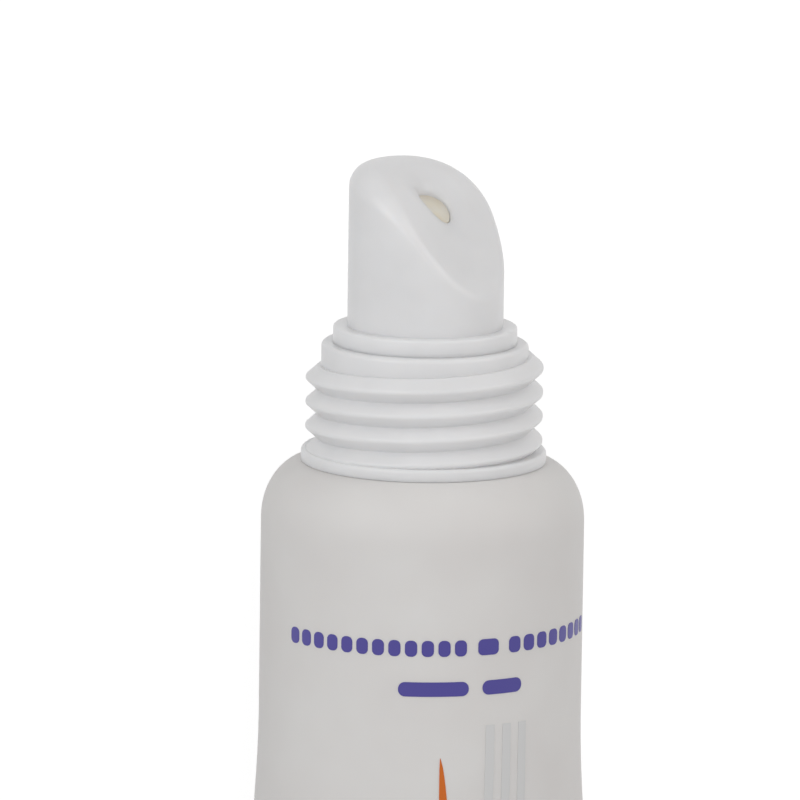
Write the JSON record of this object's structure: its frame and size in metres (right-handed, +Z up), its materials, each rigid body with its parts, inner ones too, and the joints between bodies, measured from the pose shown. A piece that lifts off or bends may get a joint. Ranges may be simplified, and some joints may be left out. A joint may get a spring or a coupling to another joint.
{
  "type": "lip cream tube",
  "caption": "Squeeze tube with a flat sealed tail, a threaded neck and a slanted applicator tip with one orifice, lying on its side.",
  "frame": {"origin": "on the surface that the tube lies on, under the middle of its box", "axes": "+Y from the sealed tail to the nozzle, +X across the flat seal, +Z up, out of the printed side"},
  "size_m": [0.0292, 0.092, 0.0211],
  "materials": {
    "sleeve_plastic": "glossy white polyethylene film, printed",
    "head_plastic": "satin white moulded polyethylene",
    "tip_plastic": "satin white moulded polyethylene, slightly translucent",
    "cream": "soft glossy warm white cream"
  },
  "bodies": {
    "root": {"tube_sleeve": "sleeve_plastic", "threaded_head": "head_plastic", "slant_tip": "tip_plastic", "lip_cream": "cream"}
  },
  "joints": []
}
